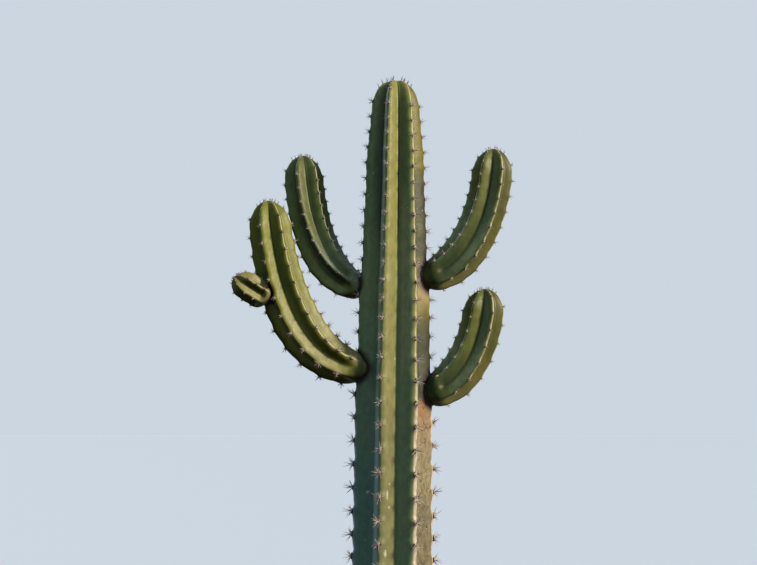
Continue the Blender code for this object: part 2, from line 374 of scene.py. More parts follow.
class Branch(Stem):
    def __init__(self, name, limb, carrier):
        self.limb = limb
        self.ring_step = OFFSHOOT_RING_STEP if name == "offshoot" else LIMB_RING_STEP
        self.outward = unit(limb.azimuth)
        self.sideways = np.array([math.cos(limb.azimuth), math.sin(limb.azimuth), 0.0])
        self.sample_path(carrier.plan_at(limb.root[1]))
        crests = limb.crest - limb.azimuth + math.tau * np.arange(RIBS) / RIBS
        super().__init__(name, self.lengths[-1], limb.dome, crests)
        self.out_at = 0.0
        self.out_at = self.way_out(carrier)
        self.start = self.out_at + (END_OUT - END_CUT * END_LENGTH) * limb.radius
        self.areoles = [self.areole_places(rib) for rib in range(RIBS)]

    def way_out(self, carrier):
        """Length at which the centre line comes out of its carrier's crest."""
        at = np.linspace(0.0, OUT_SEARCH, 161)
        line = self.frame(at)[0]
        places = np.linspace(0.0, carrier.length, 600)
        middle, _, _, radius, _ = carrier.frame(places)
        away = np.linalg.norm(line[:, None] - middle[None], axis=2) - radius[None]
        return at[np.argmax(away.min(axis=1) > 0)]

    def turn_at(self, at):
        from_tip = np.clip(1 - at / self.length, 0, 1)
        turns = np.zeros(RIBS)
        turns[0] = self.limb.turn
        return turns * from_tip**2

    def lift_size(self, at):
        return LIMB_LIFT * self.limb.radius / LIFT_RADIUS

    def areole_places(self, rib):
        """Cushions of one rib, from the tip down; neighbouring ribs are half a pitch apart."""
        limb = self.limb
        top = self.length - FIRST_AREOLE * limb.dome - (rib % 2) * limb.pitch / 2
        count = int((top - self.out_at - LAST_AREOLE) / limb.pitch) + 1
        return top - limb.pitch * np.arange(count)

    def plan_at(self, height):
        places = [np.interp(height, self.points[:, 2], self.points[:, k]) for k in range(2)]
        return np.array([*places, 0.0])

    def sample_path(self, axis):
        """Centre line, from a carrier whose own centre line stands over axis at the root."""
        limb = self.limb
        up = np.array([0.0, 0.0, 1.0])
        root = axis + limb.root[0] * self.outward + limb.root[1] * up
        tip = axis + limb.tip[0] * self.outward + limb.tip[1] * up
        leave = math.cos(limb.leave_slope) * self.outward + math.sin(limb.leave_slope) * up
        arrive = math.sin(limb.tip_lean) * self.outward + math.cos(limb.tip_lean) * up
        handles = (root + limb.root_pull * leave, tip - limb.tip_pull * arrive)
        knots = [Vector(point) for point in (root, *handles, tip)]
        self.points = np.array(interpolate_bezier(*knots, PATH_SAMPLES))
        steps = np.diff(self.points, axis=0)
        self.lengths = np.concatenate([[0.0], np.cumsum(np.linalg.norm(steps, axis=1))])
        slopes = np.arctan2(steps @ up, steps @ self.outward)
        self.slopes = np.concatenate([[limb.leave_slope], slopes])

    def frame(self, at):
        limb = self.limb
        on_path = np.clip(at, 0, None)
        middle = np.stack(
            [np.interp(on_path, self.lengths, self.points[:, k]) for k in range(3)], axis=1
        )
        slope = np.interp(on_path, self.lengths, self.slopes)[:, None]
        up = np.array([0.0, 0.0, 1.0])
        forward = np.cos(slope) * self.outward + np.sin(slope) * up
        ahead = np.sin(slope) * self.outward - np.cos(slope) * up
        aside = np.ones_like(slope) * self.sideways
        middle = middle + np.minimum(at, 0)[:, None] * forward
        grown = np.clip(on_path / limb.neck_length, 0, 1)
        swell = np.sin(np.pi / 2 * grown) ** NECK_POWER
        past_neck = np.clip(at - limb.neck_length, 0, None)
        full = limb.radius * (1 - limb.taper * past_neck / self.length)
        end = (self.out_at + END_OUT * limb.radius - at) / (END_LENGTH * limb.radius)
        end_share = np.sqrt(1 - np.clip(end, 0, 1) ** 2)
        radius = (limb.neck_radius + (full - limb.neck_radius) * swell) * end_share
        radius = radius * self.dome_share(at)
        closed, open_way = (self.out_at + share * self.lengths[-1] for share in NECK_CLOSED)
        furrow = NECK_FURROW + (FURROW - NECK_FURROW) * smooth(closed, open_way, at)
        return middle, ahead, aside, radius, furrow


# Skins


def across_columns():
    """Places across one rib, closer together at its crest and beside its furrows."""
    even = np.linspace(-1, 1, COLUMNS + 1)[:-1]
    return even + COLUMN_CROWDING * np.sin(2 * np.pi * even)


def ring_places(stem):
    """Places of the mesh rings, closer together over the dome."""
    shoulder = stem.length - stem.dome
    count = round((shoulder - stem.start) / stem.ring_step)
    straight = np.linspace(stem.start, shoulder, count, endpoint=False)
    turns = np.linspace(0, np.pi / 2, DOME_RINGS + 1)[:-1]
    return np.concatenate([straight, shoulder + stem.dome * np.sin(turns)])


def ring_quads(low, high, sides):
    """Quads between two rings of points, from the number of each ring's first point."""
    return [
        (low + side, low + (side + 1) % sides, high + (side + 1) % sides, high + side)
        for side in range(sides)
    ]


def closed_faces(rings, sides):
    """Quads between the rings, a fan to the tip point on the last and a cap on the first."""
    faces = []
    for ring in range(rings - 1):
        faces += ring_quads(ring * sides, (ring + 1) * sides, sides)
    tip = rings * sides
    last = tip - sides
    faces += [(last + side, last + (side + 1) % sides, tip) for side in range(sides)]
    faces.append(tuple(reversed(range(sides))))
    return faces


def new_object(name, data):
    made = bpy.data.objects.new(name, data)
    bpy.context.scene.collection.objects.link(made)
    return made


def add_piece(name, vertices, faces, material):
    """A piece of the object that moves with its body."""
    mesh = bpy.data.meshes.new(name)
    mesh.from_pydata(vertices.tolist(), [], faces)
    mesh.update()
    mesh.shade_smooth()
    mesh.materials.append(material)
    piece = new_object(name, mesh)
    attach(piece, BODY)
    return piece


def noise_at(points, scale, octaves=3, stretch=(1, 1, 1)):
    """Fractal noise of about -1 to 1 at each point."""
    scaled = points * (scale * np.array(stretch))
    return np.array([noise.fractal(Vector(p), 0.8, 2.0, octaves) for p in scaled])


class Skin:
    """The bare mesh of a stem, before its relief. Its last vertex is the tip point."""

    def __init__(self, stem):
        self.stem = stem
        at = ring_places(stem)
        across = across_columns()
        ribs = [stem.surface(at, rib, across) for rib in range(RIBS)]
        tip = stem.surface([stem.length], 0, [0.0])[0]
        self.rings = len(at)
        self.columns = COLUMNS * RIBS
        self.vertices = np.concatenate([np.concatenate(ribs, axis=1).reshape(-1, 3), tip])
        self.along = np.append(np.repeat(at, self.columns), stem.length)
        self.across = np.append(np.tile(across, RIBS * self.rings), 0.0)
        self.fallen = flank_fall(self.across, stem.rounding)
        self.faces = closed_faces(self.rings, self.columns)
        self.tree = BVHTree.FromPolygons(self.vertices.tolist(), self.faces)

    def height_over(self, points, reach):
        """How far each point is outside this skin. Points inside it get less than 0."""
        heights = np.full(len(points), reach)
        for index, point in enumerate(points):
            place, normal, _, _ = self.tree.find_nearest(Vector(point), reach)
            if place is not None:
                away = Vector(point) - place
                heights[index] = math.copysign(away.length, away.dot(normal))
        return heights

    def add_piece(self, slot, material):
        """This skin as a piece, and its normals while it has no relief."""
        piece = add_piece(self.stem.name + "_skin", self.vertices, self.faces, material)
        normals = np.empty(self.vertices.size, np.float32)
        piece.data.vertex_normals.foreach_get("vector", normals)
        return piece, normals.reshape(-1, 3)

    def finish(self, piece, normals, relief, masks):
        """Raises the relief, and adds the masks that the materials read by name."""
        mesh = piece.data
        moved = self.vertices + normals * relief[:, None]
        mesh.vertices.foreach_set("co", moved.astype(np.float32).ravel())
        mesh.update()
        for name, values in {**common_masks(self, normals), **masks}.items():
            attribute = mesh.attributes.new(name, "FLOAT", "POINT")
            attribute.data.foreach_set("value", np.asarray(values, np.float32))


def near_root(points, stem, reach):
    """Which points lie near the place where a limb leaves its carrier."""
    root = stem.frame(np.array([stem.out_at]))[0][0]
    return np.linalg.norm(points - root, axis=1) < reach


def neck_mask(skin, carrier):
    """Dark cork and painted contact shade on a limb, just off its carrier."""
    dark = np.zeros(len(skin.vertices))
    near = skin.along < skin.stem.out_at + ROOT_REACH
    heights = carrier.height_over(skin.vertices[near], NECK_EDGE[1])
    dark[near] = smooth(NECK_EDGE[1], NECK_EDGE[0], heights)
    return dark


def halo_mask(skin, limbs):
    """Dark cork and painted contact shade on a carrier, just off each of its limbs."""
    dark = np.zeros(len(skin.vertices))
    for limb in limbs:
        near = near_root(skin.vertices, limb.stem, ROOT_REACH)
        width = RIGHT_HALO if limb.stem.limb.azimuth > 0 else 1.0
        heights = limb.height_over(skin.vertices[near], width * HALO_EDGE[1]) / width
        dark[near] = np.maximum(dark[near], smooth(HALO_EDGE[1], HALO_EDGE[0], heights))
    return dark


def sunny_share(normals):
    """How far a surface faces the sun's side: 1 square to it and 0 turned away."""
    return 0.5 + 0.5 * normals @ unit(SUN_AZIMUTH, SUN_HEIGHT)


def outer_flank(skin):
    """The flank between a limb's first two ribs: 1 on it and 0 off it."""
    rib = np.append(np.tile(np.repeat(np.arange(RIBS), COLUMNS), skin.rings), -1)
    flank = ((rib == 0) & (skin.across > 0.02)) | ((rib == 1) & (skin.across < 0))
    return flank.astype(float)


def common_masks(skin, normals):
    """Markings, facings and painted sky sheen that every skin has."""
    stem = skin.stem
    ridge = 1 - skin.fallen
    ribbed = np.clip((1 - stem.frame(skin.along)[4]) / (1 - FURROW), 0, 1)
    flank = smooth(0.03, 0.20, ridge) * smooth(0.97, 0.80, ridge)
    return {
        "ridge": ridge,
        "ribbed": ribbed,
        "groove": (1 - ridge) * ribbed,
        "sunny": sunny_share(normals),
        # painted sky sheen on the waxy coat of left-facing flanks
        "bloom": flank * ribbed * smooth(0.45, 0.80, -normals[:, 0]),
        "growth": smooth(stem.length - 0.16, stem.length - 0.01, skin.along),
    }


def azimuth_of(points):
    return np.arctan2(points[:, 0] - TRUNK_LEAN * points[:, 2], -points[:, 1])


def away_from(angle, middle):
    """Angle between each azimuth and a middle one, the short way round."""
    return np.abs((angle - middle + np.pi) % math.tau - np.pi)


def angle_step(edges, angle):
    """A soft step between two angles that are stated in degrees."""
    return smooth(*(math.radians(edge) for edge in edges), angle)


def length_step(edges, skin):
    """A soft step along a limb, between two shares of its length."""
    return smooth(*(edge * skin.stem.length for edge in edges), skin.along)


def height_band(height, band, fade):
    """1 inside a (low, high) band of height, fading out over a distance."""
    low, high = band
    return smooth(low - fade, low, height) * smooth(high + fade, high, height)


def trunk_cork(points):
    """How corky the trunk's skin is at each point, from 0 to 1."""
    angle = azimuth_of(points)
    height = points[:, 2]
    rough = noise_at(points, 9, stretch=(1, 1, 0.5))
    sun_side = smooth(CORK_SPREAD, 0.75 * CORK_SPREAD, away_from(angle, CORK_AZIMUTH))
    below_arm = smooth(CORK_TOP, CORK_TOP - 0.03, height + 0.03 * rough)
    foot = smooth(FOOT_CORK + 0.35, FOOT_CORK - 0.2, height + 0.15 * rough)
    return np.clip(np.maximum(sun_side * below_arm, foot), 0, 1)


def trunk_scars(angle, height):
    """Old scars of stated places and sizes."""
    scars = np.zeros(len(angle))
    for azimuth, middle, half_width, half_height in SCARS:
        aside = (angle - math.radians(azimuth)) * SCAR_RADIUS / half_width
        up = (height - middle) / half_height
        scars = np.maximum(scars, smooth(1.4, 0.2, np.hypot(aside, up)))
    return scars


def trunk_masks(skin, normals):
    """Markings and painted light and shade of the trunk, by side and height, with ragged edges."""
    points = skin.vertices
    angle = azimuth_of(points)
    height = points[:, 2]
    ragged = height + 0.02 * noise_at(points, 30, stretch=(1, 1, 0.5))
    wavy = height + 0.03 * noise_at(points, 14, stretch=(1, 1, 0.5))
    flamed = height + 0.03 * noise_at(points, 60, stretch=(1, 1, 0.3))
    right = angle_step(RIGHT_EDGE, away_from(angle, RIGHT_AZIMUTH))
    left = angle_step(LEFT_FRONT, angle) * angle_step(LEFT_BACK, angle)
    in_furrow = angle_step(RECESS_FRONT, angle) * (angle > RECESS_BACK)
    in_furrow = in_furrow * smooth(0.30, 1.0, skin.fallen)
    weather = [height_band(ragged, band, BAND_FADE) for band in ARM_SHADOW_BANDS]
    haze = height_band(wavy, HAZE_BAND, HAZE_FADE)
    by_arms = angle_step(RUST_EDGE, away_from(angle, RUST_AZIMUTH))
    low_rust = smooth(*LOW_RUST[:2], flamed) * (height < LOW_RUST[2])
    high_rust = smooth(*HIGH_RUST[:2], flamed) * (height < HIGH_RUST[2])
    return {
        "age": smooth(*OLD_SKIN, height),
        "low": smooth(*LOW_CORK, height),
        # painted shade on the right-hand side, with a golden tint
        "right": right,  # darker skin
        # painted shadow of each arm, grey-brown, level with it
        "weather": right * np.maximum(*weather),  # grey-brown, level with each arm
        "tan": right * height_band(ragged, TAN_BAND, BAND_FADE),  # below the upper arm
        # painted blue of the sky's light on the left-hand side
        "left": left,  # the left-hand side, fading out towards the back
        # painted shade low on the left
        "dim": left * smooth(*DIM_SHADE, height),  # darker and bluer, low on the left
        "haze": haze * (1 - 0.7 * left),  # paler and waxy at the middle heights
        # painted shade in the left-hand furrow of young skin
        "recess": in_furrow * smooth(*YOUNG_SKIN, height),  # the dark left furrow of young skin
        # pale crests on the sunward side: wear with a painted highlight
        "worn": angle_step(SUNWARD, angle) * smooth(*WORN_AND_LIT_FACING, sunny_share(normals)),
        "rust": by_arms * (low_rust + HIGH_RUST_SHARE * high_rust),  # orange, under the right arms
        "scars": trunk_scars(angle, height),
    }


def build_trunk_skin(skin, limbs, material):
    points = skin.vertices
    piece, normals = skin.add_piece("trunk_skin", material)
    masks = trunk_masks(skin, normals)
    masks["cork"] = trunk_cork(points)
    masks["neck"] = halo_mask(skin, limbs)
    grit = noise_at(points, 120, stretch=(1, 1, 0.55))
    lumps = noise_at(points, 34, octaves=2)
    relief = masks["cork"] * (CORK_GRIT * grit + CORK_LUMPS * lumps) + TRUNK_LUMPS * lumps
    relief[points[:, 2] < 0.003] = 0  # the cut at ground level stays flat
    skin.finish(piece, normals, relief, masks)
    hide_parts("trunk")


def branch_masks(skin, normals, on_trunk):
    """Markings and painted shade of a limb, by its length and by the way its skin faces."""
    stem = skin.stem
    facing_right, facing_up = normals[:, 0], normals[:, 2]
    down_left = -0.80 * facing_right - 0.60 * facing_up
    lower = length_step(OLD_LIMB, skin)
    # crests facing the sun get wear and a painted highlight
    worn = smooth(*WORN_AND_LIT_FACING, sunny_share(normals))
    right = smooth(0.75, 0.93, facing_right)
    if stem.limb.azimuth > 0:
        right = outer_flank(skin)
        worn = np.maximum(worn, right)
        furrow = stem.frame(skin.along)[4]
        deep = lower * smooth(SHUT_FURROW, 0.95, furrow)
    elif on_trunk:
        reach = np.maximum(length_step(SHUT_IN_LIMB, skin), 0.45)
        in_furrow = smooth(0.35, 0.80, skin.fallen)
        deep = reach * smooth(0.15, 0.75, down_left) * (1 - 0.8 * in_furrow)
    else:
        deep = smooth(0.35, 0.95, -0.75 * facing_right + 0.55 * facing_up)
    return {
        "age": lower,
        "haze": length_step(HAZY_LIMB, skin),
        # painted shade on the undersides and on faces turned down and to the left
        "under": np.maximum(smooth(-0.15, -0.70, facing_up), smooth(0.50, 1.0, down_left)),
        # painted shade where the limb is shut in or turned from the light
        "deep": deep,  # darkest where the limb is shut in
        # the right-facing side, where the skin gets painted light and shade
        "right": right,
        "worn": worn,
    }


def build_branch_skin(skin, carrier, limbs, nodes, slot, material):
    piece, normals = skin.add_piece(slot, material)
    masks = branch_masks(skin, normals, carrier.stem.name == "trunk")
    masks["neck"] = np.maximum(neck_mask(skin, carrier), halo_mask(skin, limbs))
    relief = LIMB_LUMPS * noise_at(skin.vertices, 38, octaves=2)
    skin.finish(piece, normals, relief, masks)
    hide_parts(*nodes)


# Cushions and spines

SPINE_RINGS = ((-0.06, 1.0), (0.35, 0.80), (0.72, 0.46))  # height and width of each ring
SPINE_BOW = 0.10


def ball_template(rows=5, sides=9):
    """Unit ball as points and faces."""
    points = [(0.0, 0.0, -1.0)]
    for row in range(1, rows):
        height = math.pi * row / rows
        level = math.sin(height)
        for side in range(sides):
            turn = math.tau * (side + 0.5 * (row % 2)) / sides
            points.append((level * math.cos(turn), level * math.sin(turn), -math.cos(height)))
    points.append((0.0, 0.0, 1.0))
    faces = [(0, 1 + (side + 1) % sides, 1 + side) for side in range(sides)]
    for row in range(rows - 2):
        faces += ring_quads(1 + row * sides, 1 + (row + 1) * sides, sides)
    last = 1 + (rows - 2) * sides
    faces += [(last + side, last + (side + 1) % sides, len(points) - 1) for side in range(sides)]
    return np.array(points), faces


def spine_template(sides=5):
    """Unit spine along +Z, as points and faces. Each point's fourth number is its bow."""
    points = []
    for height, width in SPINE_RINGS:
        bow = SPINE_BOW * height * height
        for side in range(sides):
            turn = math.tau * side / sides
            points.append((width * math.cos(turn), width * math.sin(turn), height, bow))
    points.append((0.0, 0.0, 1.0, SPINE_BOW))
    faces = closed_faces(len(SPINE_RINGS), sides)
    return np.array(points), faces


class Joined:
    """Collects many small shapes into one mesh."""

    def __init__(self):
        self.vertices = []
        self.faces = []
        self.count = 0

    def add(self, vertices, faces):
        self.vertices.append(vertices)
        self.faces += [[self.count + corner for corner in face] for face in faces]
        self.count += len(vertices)

    def piece(self, name, slot, material):
        vertices = np.concatenate(self.vertices)
        return add_piece(name, vertices, self.faces, material)


BALL = ball_template()
SPINE = spine_template()


def across_of(out, up):
    return normed(np.cross(up, out))


def add_ball(joined, draw, place, out, up, size):
    """A lumpy cushion: size is (across, up, out), and half of it sinks into the skin."""
    points, faces = BALL
    lumpy = points * (1 + draw.uniform(-0.16, 0.16, (len(points), 1)))
    side = across_of(out, up)
    turned = (
        lumpy[:, :1] * side * size[0] + lumpy[:, 1:2] * up * size[1] + lumpy[:, 2:] * out * size[2]
    )
    joined.add(place + turned, faces)


def add_spine(joined, base, way, bend, length, width):
    """A spine from base along way, bowing towards bend."""
    points, faces = SPINE
    side = normed(np.cross(way, bend))
    bend = np.cross(side, way)
    across = points[:, :1] * bend * width + points[:, 1:2] * side * width
    along = points[:, 2:3] * way * length + points[:, 3:] * bend * length
    joined.add(base + across + along, faces)


# One kind of cushion: half sizes of its wool, and counts and lengths of its spines
Kind = namedtuple("Kind", "wool rim spread_count spread_length out_count out_length width")
MATURE = Kind((0.0029, 0.0035, 0.0021), 1.15, 7, 0.0104, 3, 0.0145, 0.00043)
YOUNG = Kind((0.0020, 0.0025, 0.0014), 1.15, 6, 0.0064, 2, 0.0094, 0.00034)
PUP = Kind((0.0017, 0.0021, 0.0013), 1.18, 5, 0.0046, 2, 0.0060, 0.00034)
TRUNK_GROWTH = ((1.05, 1.70), (1.28, 1.48), (1.45, 1.28), (1.80, 1.08))  # height, size of a cushion
LIMB_GROWTH = ((0.15, 1.15), (0.65, 0.95))  # share of the limb's length, size of a cushion
LOWER_LEFT_GROWTH = ((0.15, 1.65), (0.65, 1.10))
CROWN_REACH = 0.045  # cushions this near a tip carry the new, upright spines
CROWN_PLACES = (0.02, 0.06, 0.13)  # where the smallest cushions sit, over the length of the dome
CROWN_SPINES = 5
CROWN_WOOL = 0.72  # sizes of the cushions there and of the one on the tip, over a full one
TIP_WOOL = 1.1
RIM_HEIGHT = 0.6  # height of a rim, over its cushion's
OLD_SPREAD = 0.66  # share of pale, old spines among the spread ones and the upright ones
OLD_OUT = 0.4


def grown(kind, size):
    """A kind of cushion, larger or smaller all over."""
    return kind._replace(
        wool=tuple(half * size for half in kind.wool),
        spread_count=round(kind.spread_count * size),
        spread_length=kind.spread_length * size,
        out_length=kind.out_length * size,
        width=kind.width * size,
    )


def cushion_size(stem, at):
    if stem.name == "trunk":
        return float(eased(TRUNK_GROWTH, at))
    growth = LOWER_LEFT_GROWTH if stem.name == "lower_left" else LIMB_GROWTH
    return float(eased(growth, at / stem.length))


def add_cushion(parts, draw, stem, kind, at, rib):
    place, out, up = stem.seat(at, rib)
    wool = np.array(kind.wool) * draw.uniform(0.85, 1.15)
    rim = wool * (kind.rim, kind.rim, RIM_HEIGHT)
    # a dark felt rim, also standing in for the cushion's shadow
    add_ball(parts["areole_rims_and_shade"], draw, place - out * 0.0008, out, up, rim)
    add_ball(parts["areole_wool"], draw, place, out, up, wool)
    near_tip = stem.length - at < CROWN_REACH
    side = across_of(out, up)
    first = draw.uniform(0, math.tau)
    for spine in range(kind.spread_count):
        turn = first + math.tau * (spine + draw.uniform(-0.25, 0.25)) / kind.spread_count
        rise = draw.uniform(0.18, 0.70)
        flat = math.cos(turn) * side + math.sin(turn) * up
        way = math.cos(rise) * flat + math.sin(rise) * out
        length = kind.spread_length * draw.uniform(0.7, 1.25)
        old = draw.random() < OLD_SPREAD and not near_tip
        base = place + out * 0.0008 + flat * wool[0] * 0.4
        joined = parts["pale_spines" if old else "brown_spines"]
        add_spine(joined, base, way, out, length, kind.width)
    for _ in range(kind.out_count):
        tilt = draw.uniform(-0.6, 0.6, 2)
        way = normed(out + tilt[0] * side + tilt[1] * up + (0.5 * up if near_tip else 0))
        length = kind.out_length * draw.uniform(0.7, 1.15)
        old = draw.random() < OLD_OUT and not near_tip
        joined = parts["pale_spines" if old else "brown_spines"]
        add_spine(joined, place + out * 0.001, way, up, length, kind.width * 1.15)


def add_crown(parts, draw, stem, kind):
    """The growing point: close-set small cushions and upright new spines."""
    top = stem.surface([stem.length], 0, [0.0])[0, 0]
    (low, high), ahead, _, _, _ = stem.frame(np.array([stem.length - 0.002, stem.length]))
    rise = normed(high - low)
    for rib in range(RIBS):
        for share in CROWN_PLACES:
            at = stem.length - share * stem.dome * (1 + 0.3 * (rib % 2))
            place, out, up = stem.seat(at, rib)
            add_ball(parts["areole_wool"], draw, place, out, up, np.array(kind.wool) * CROWN_WOOL)
            for _ in range(CROWN_SPINES):
                lean = draw.uniform(-0.45, 0.45, 3)
                way = normed(out * 0.4 + rise + lean)
                length = kind.out_length * draw.uniform(0.5, 1.05)
                add_spine(parts["brown_spines"], place, way, out, length, kind.width)
    add_ball(parts["areole_wool"], draw, top, rise, ahead[1], np.array(kind.wool) * TIP_WOOL)


# Materials


class Nodes:
    """Adds to a node tree, which is a material's or the world's."""

    def __init__(self, owner):
        owner.use_nodes = True
        self.nodes = owner.node_tree.nodes
        self.links = owner.node_tree.links

    def put(self, socket, value):
        if isinstance(value, bpy.types.NodeSocket):
            self.links.new(value, socket)
        elif isinstance(value, tuple):
            socket.default_value = (*value, 1.0)[: len(socket.default_value)]
        else:
            socket.default_value = value

    def node(self, kind, values, **settings):
        """A node with its settings, and with a value or a link on each of its sockets."""
        node = self.nodes.new("ShaderNode" + kind)
        for name, setting in settings.items():
            setattr(node, name, setting)
        for name, value in values.items():
            self.put(node.inputs[name], value)
        return node.outputs


class Tree(Nodes):
    """One material's node tree. Most of its methods return the socket that they make.

    A name in place of a value stands for the number of that name at the mesh's vertices.
    """

    def __init__(self, name):
        self.material = bpy.data.materials.new(name)
        super().__init__(self.material)
        self.shader = self.nodes["Principled BSDF"]
        self.place = self.node("TexCoord", {})["Object"]
        self.masks = {}

    def put(self, socket, value):
        super().put(socket, self.mask(value) if isinstance(value, str) else value)

    def surface(self, name, value):
        """One of the shader's own sockets."""
        self.put(self.shader.inputs[name], value)

    def mask(self, name):
        if name not in self.masks:
            self.masks[name] = self.node("Attribute", {}, attribute_name=name)["Fac"]
        return self.masks[name]

    def stretched(self, stretch):
        return self.node("Mapping", {"Vector": self.place, "Scale": stretch})["Vector"]

    def noise(self, scale, detail=4.0, roughness=0.55, stretch=(1, 1, 1)):
        values = {"Vector": self.stretched(stretch), "Scale": scale}
        values.update({"Detail": detail, "Roughness": roughness})
        return self.node("TexNoise", values)["Fac"]

    def cells(self, scale, stretch=(1, 1, 1), feature="F1"):
        values = {"Vector": self.stretched(stretch), "Scale": scale}
        return self.node("TexVoronoi", values, feature=feature)["Distance"]

    def step(self, value, low, high, bottom=0.0, top=1.0):
        """Soft step of a value from bottom at low to top at high."""
        values = {"Value": value, "From Min": low, "From Max": high}
        values.update({"To Min": bottom, "To Max": top})
        return self.node("MapRange", values, interpolation_type="SMOOTHSTEP")["Result"]

    def maths(self, operation, first, second):
        return self.node("Math", {0: first, 1: second}, operation=operation)["Value"]

    def times(self, first, *others):
        for other in others:
            first = self.maths("MULTIPLY", first, other)
        return first

    def most(self, first, *others):
        for other in others:
            first = self.maths("MAXIMUM", first, other)
        return first

    def mix(self, share, first, second, blend="MIX"):
        values = {"Factor": share, "A": first, "B": second}
        return self.node("Mix", values, data_type="RGBA", blend_type=blend)["Result"]

    def tint(self, share, colour, factor):
        return self.mix(share, colour, factor, "MULTIPLY")

    def grey(self, value):
        """A value as a grey, to multiply a colour by."""
        return self.node("CombineColor", dict.fromkeys(("Red", "Green", "Blue"), value))["Color"]

    def bump(self, height, strength, distance, under=None):
        values = {"Height": height, "Strength": strength, "Distance": distance}
        if under is not None:
            values["Normal"] = under
        return self.node("Bump", values)["Normal"]


# Skins: the shade and sun sides of young skin, painted as shaded and lit copies of one green,
# the same of old skin, fresh growth, how strong the painted sky sheen on the waxy coat, the
# painted shade of old furrows and the painted light of crest fringes are, what the right-hand
# side of young and old skin is multiplied by (painted light and shade, and a golden tint), how
# strong frost and painted deep shade are, and between which values of ridge a crest shows wear
# and a painted highlight
Greens = namedtuple(
    "Greens",
    "shade sun old_shade old_sun fresh wax old_furrow fringe right low_right frost deep crest",
    defaults=((1.0, 1.0, 1.0), (1.0, 1.0, 1.0), 0.0, 1.0, (0.968, 0.992)),
)
TRUNK_GREENS = Greens(
    shade=(0.116, 0.190, 0.064),
    sun=(0.285, 0.278, 0.072),
    old_shade=(0.125, 0.215, 0.108),
    old_sun=(0.232, 0.220, 0.094),
    fresh=(0.265, 0.270, 0.058),
    right=(0.62, 0.56, 0.12),
    low_right=(0.52, 0.53, 0.21),
    frost=0.55,
    wax=1.0,
    old_furrow=0.0,
    fringe=0.75,
)
LOWER_LEFT_GREENS = Greens(
    shade=(0.115, 0.150, 0.005),
    sun=(0.200, 0.205, 0.010),
    old_shade=(0.225, 0.220, 0.018),
    # a real tan patch, also painted paler as light on the base in the trunk's shadow
    old_sun=(0.290, 0.285, 0.110),
    fresh=(0.195, 0.215, 0.016),
    right=(0.80, 0.80, 0.72),
    low_right=(0.92, 0.88, 0.95),
    wax=0.45,
    old_furrow=0.35,
    fringe=0.15,
    crest=(0.960, 0.990),
)
# Upper left arm, in the trunk's shadow: painted dimmer on its sun side, paler on its old skin
UPPER_LEFT_GREENS = Greens(
    shade=(0.160, 0.240, 0.062),
    sun=(0.122, 0.140, 0.040),
    old_shade=(0.260, 0.340, 0.140),
    old_sun=(0.250, 0.300, 0.215),
    fresh=(0.135, 0.160, 0.045),
    right=(0.8, 0.9, 0.9),
    low_right=(0.8, 0.9, 0.9),
    frost=0.25,
    wax=0.5,
    old_furrow=0.6,
    fringe=0.06,
)
RIGHT_ARM_GREENS = Greens(
    shade=(0.086, 0.130, 0.030),
    sun=(0.100, 0.118, 0.019),
    old_shade=(0.080, 0.125, 0.048),
    # painted shade at the base, over a lit spot
    old_sun=(0.040, 0.054, 0.014),
    fresh=(0.150, 0.172, 0.028),
    right=(0.84, 0.74, 0.55),
    low_right=(2.8, 1.98, 2.0),
    frost=0.75,
    wax=0.7,
    old_furrow=0.6,
    fringe=0.10,
    deep=0.6,
    crest=(0.925, 0.970),
)
OFFSHOOT_GREENS = Greens(
    shade=(0.120, 0.140, 0.012),
    sun=(0.260, 0.250, 0.085),
    old_shade=(0.100, 0.115, 0.012),
    old_sun=(0.270, 0.255, 0.090),
    fresh=(0.260, 0.255, 0.072),
    wax=0.2,
    old_furrow=1.0,
    fringe=0.40,
)
SHADE_LIFT = (1.12, 1.12, 1.12)
# the waxy coat with painted sky sheen, on old and young skin
SHEEN_AND_WAX = (0.360, 0.490, 0.465)
YOUNG_SHEEN_AND_WAX = (0.400, 0.460, 0.330)
FROST = (0.290, 0.370, 0.215)
# painted sky-blue light on the left-hand side
LEFT_SKY_BLUE = (0.94, 1.02, 1.28)
# painted shade low on the left
LOW_LEFT_SHADE = (0.68, 0.78, 0.90)
# painted grazing light on crest fringes
LIT_FRINGE = (0.420, 0.430, 0.130)
GREEN_EDGE = (0.160, 0.270, 0.130)
# painted shade in furrows
FURROW_SHADE = (0.008, 0.015, 0.006)
# crest colours: wear with painted highlight
CREST_WORN_AND_LIT = (0.56, 0.51, 0.37)
CREST_OLD_AND_LIT = (0.70, 0.62, 0.51)
# a grey crest with painted sky rim light, off the sun's side
SHADE_CREST_RIM = (0.40, 0.44, 0.42)
# painted shade under the limbs and where they are shut in
UNDER_SHADE = (0.32, 0.34, 0.36)
DEEP_SHADE = (0.20, 0.24, 0.28)
# painted shadow of the arms
ARM_SHADOW = (0.046, 0.049, 0.026)
# dark cork at the joins, also painted contact shade
NECK_DARK = (0.018, 0.010, 0.011)
TAN = (0.40, 0.32, 0.15)
CORK_LOW = (0.68, 0.69, 0.70)
CORK_LIGHT = (0.45, 0.385, 0.235)
CORK_DARK = (0.25, 0.205, 0.115)
CORK_GREY = (0.27, 0.250, 0.180)
CORK_CRACK = (0.085, 0.050, 0.028)
RUST = (0.50, 0.225, 0.100)
SCAR = (0.60, 0.56, 0.42)
SKIN_GLOSS = 0.35  # specular level
LIMB_GLOSS = 0.27
DULL_GLOSS = 0.04  # the same in deep shade
TRUNK_ROUGHNESS = (0.40, 0.56)
LIMB_ROUGHNESS = (0.37, 0.50)
CORK_ROUGHNESS = (0.88, 0.88, 0.88)
FINE_SCALE = 420  # of the noise in the skins' finest grain and in their lumps
LUMP_SCALE = 90
FINE_DEPTH = 0.0003  # depths of the bumps
LIMB_LUMP_DEPTH = 0.0008
TRUNK_LUMP_DEPTH = 0.0012
CORK_DEPTH = 0.0018
SCAR_DEPTH = 0.0008


def streaks(tree):
    return tree.noise(46, detail=3, stretch=(1, 1, 0.10))


